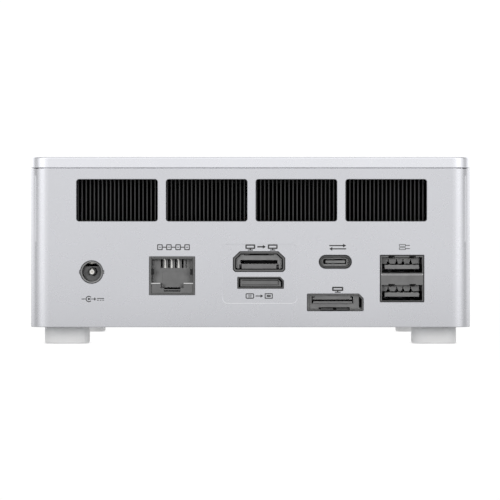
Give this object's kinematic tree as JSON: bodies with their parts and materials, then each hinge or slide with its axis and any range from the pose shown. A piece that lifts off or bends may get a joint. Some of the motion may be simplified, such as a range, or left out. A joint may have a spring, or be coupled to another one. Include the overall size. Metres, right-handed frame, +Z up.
{
  "type": "mini desktop computer",
  "caption": "Compact desktop computer with a lift-off top cover, rear exhaust windows above a panel of data, video, network and power sockets, and a raised base on square feet.",
  "frame": {"origin": "middle of the footprint, on the plane the feet stand on", "axes": "+Z up, +Y towards the rear socket panel, +X to the right for someone facing the front"},
  "size_m": [0.13, 0.126, 0.0552],
  "materials": {
    "case_metal": "fine bead-blasted satin",
    "base_plastic": "fine matt texture",
    "foot_silicone": "translucent matt",
    "screw_steel": "plated",
    "socket_plastic": "moulded",
    "socket_metal": "nickel plated",
    "contact_metal": "plated contact",
    "button_plastic": "satin",
    "light_guide": "frosted",
    "component_plastic": "moulded",
    "circuit_board": "solder mask",
    "cooler_aluminium": "milled",
    "cooler_copper": "bare metal",
    "fin_black": "black coated",
    "fan_plastic": "moulded",
    "lead_sleeve": "soft sleeve"
  },
  "bodies": {
    "chassis": {"main_housing": "case_metal", "io_insert_plate": "case_metal", "bottom_cover": "base_plastic", "foot_rear_right": "foot_silicone", "foot_rear_left": "foot_silicone", "foot_front_right": "foot_silicone", "foot_front_left": "foot_silicone", "cover_screws": "screw_steel", "dc_jack_body": "socket_plastic", "dc_jack_pin": "contact_metal", "dc_jack_spring": "contact_metal", "lan_jack_shell": "socket_metal", "lan_jack_insert": "socket_plastic", "lan_jack_contacts": "contact_metal", "video_a_shell": "socket_metal", "video_a_core": "socket_plastic", "expansion_shell": "socket_metal", "expansion_core": "socket_plastic", "type_c_rear_shell": "socket_metal", "type_c_rear_core": "socket_plastic", "video_b_shell": "socket_metal", "video_b_core": "socket_plastic", "type_a_stack_shell": "socket_metal", "type_a_stack_core": "socket_plastic", "type_a_stack_contacts": "contact_metal", "front_type_a_shells": "socket_metal", "front_type_a_cores": "socket_plastic", "type_c_front_shell": "socket_metal", "type_c_front_core": "socket_plastic", "audio_jack": "socket_plastic", "power_light_ring": "light_guide", "power_switch_body": "component_plastic", "motherboard": "circuit_board", "board_screws": "screw_steel", "processor_package": "circuit_board", "power_stage_parts": "component_plastic", "board_components": "component_plastic", "backup_battery": "screw_steel", "memory_socket": "socket_plastic", "memory_modules": "circuit_board", "drive_sockets": "socket_plastic", "drive_modules": "circuit_board", "drive_screws": "screw_steel", "drive_heat_plate": "cooler_aluminium", "wireless_card": "circuit_board", "cold_plate": "cooler_copper", "cooler_screws": "screw_steel", "heat_pipes": "cooler_copper", "fin_stack": "fin_black", "blower_housing": "fan_plastic", "blower_screws": "screw_steel", "blower_cover": "fan_plastic", "blower_stator": "cooler_copper", "blower_lead": "lead_sleeve", "storage_fan_frame": "fan_plastic"},
    "top_lid": {"top_cover": "case_metal"},
    "blower_wheel": {"blower_rotor": "fan_plastic"},
    "drive_fan_wheel": {"storage_fan_rotor": "fan_plastic"},
    "power_button": {"power_button_cap": "button_plastic", "power_switch_plunger": "component_plastic"}
  },
  "joints": [
    {"name": "top_cover_lift", "type": "slide", "parent": "chassis", "child": "top_lid", "axis": [0, 0, 1], "range_m": [0, 0.03]},
    {"name": "blower_spin", "type": "hinge", "parent": "chassis", "child": "blower_wheel", "pos_m": [0, 0.002, 0.0425], "axis": [0, 0, 1], "continuous": true},
    {"name": "drive_fan_spin", "type": "hinge", "parent": "chassis", "child": "drive_fan_wheel", "pos_m": [0, 0, 0.0112], "axis": [0, 0, 1], "continuous": true},
    {"name": "power_button_press", "type": "slide", "parent": "chassis", "child": "power_button", "axis": [0, 1, 0], "range_m": [0, 0.0005], "stiffness_N_per_m": 800, "springref_m": -0.001}
  ]
}
